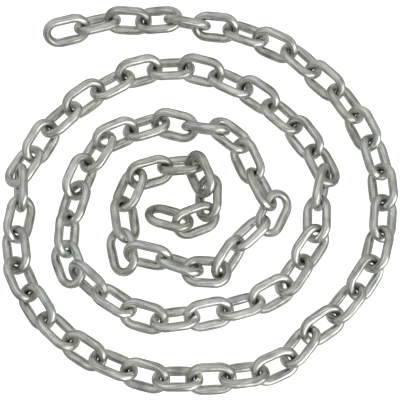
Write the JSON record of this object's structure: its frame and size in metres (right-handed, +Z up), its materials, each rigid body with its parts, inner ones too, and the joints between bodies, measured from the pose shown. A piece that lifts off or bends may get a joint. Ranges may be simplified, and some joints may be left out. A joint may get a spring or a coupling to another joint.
{
  "type": "length of short-link steel chain laid in a flat spiral",
  "caption": "Two-metre length of galvanised short-link steel chain, laid slack on the floor in a flat spiral of three turns.",
  "frame": {"origin": "on the floor, under the middle of the coil's outline", "axes": "+Z up from the floor; -Y is the side that the picture looks from; +X to the right; the chain runs clockwise, seen from above, from its outer end behind and to the left"},
  "size_m": [0.2822, 0.2868, 0.0265],
  "materials": {
    "galvanised_steel": "hot-dip zinc, satin grey"
  },
  "bodies": {
    "root": {"link_01": "galvanised_steel", "link_02": "galvanised_steel", "link_03": "galvanised_steel", "link_04": "galvanised_steel", "link_05": "galvanised_steel", "link_06": "galvanised_steel", "link_07": "galvanised_steel", "link_08": "galvanised_steel", "link_09": "galvanised_steel", "link_10": "galvanised_steel", "link_11": "galvanised_steel", "link_12": "galvanised_steel", "link_13": "galvanised_steel", "link_14": "galvanised_steel", "link_15": "galvanised_steel", "link_16": "galvanised_steel", "link_17": "galvanised_steel", "link_18": "galvanised_steel", "link_19": "galvanised_steel", "link_20": "galvanised_steel", "link_21": "galvanised_steel", "link_22": "galvanised_steel", "link_23": "galvanised_steel", "link_24": "galvanised_steel", "link_25": "galvanised_steel", "link_26": "galvanised_steel", "link_27": "galvanised_steel", "link_28": "galvanised_steel", "link_29": "galvanised_steel", "link_30": "galvanised_steel", "link_31": "galvanised_steel", "link_32": "galvanised_steel", "link_33": "galvanised_steel", "link_34": "galvanised_steel", "link_35": "galvanised_steel", "link_36": "galvanised_steel", "links_37_38": "galvanised_steel", "links_39_40": "galvanised_steel", "links_41_42": "galvanised_steel", "links_43_44": "galvanised_steel", "links_45_46": "galvanised_steel", "links_47_48": "galvanised_steel", "links_49_50": "galvanised_steel", "links_51_52": "galvanised_steel", "links_53_54": "galvanised_steel", "links_55_56": "galvanised_steel", "links_57_58": "galvanised_steel", "links_59_60": "galvanised_steel", "links_61_62": "galvanised_steel", "links_63_64": "galvanised_steel", "links_65_66": "galvanised_steel", "links_67_68": "galvanised_steel", "links_69_70": "galvanised_steel", "links_71_72": "galvanised_steel", "links_73_74": "galvanised_steel", "links_75_76": "galvanised_steel", "links_77_78": "galvanised_steel", "links_79_80": "galvanised_steel", "links_81_82": "galvanised_steel", "links_83_84": "galvanised_steel"}
  },
  "joints": []
}
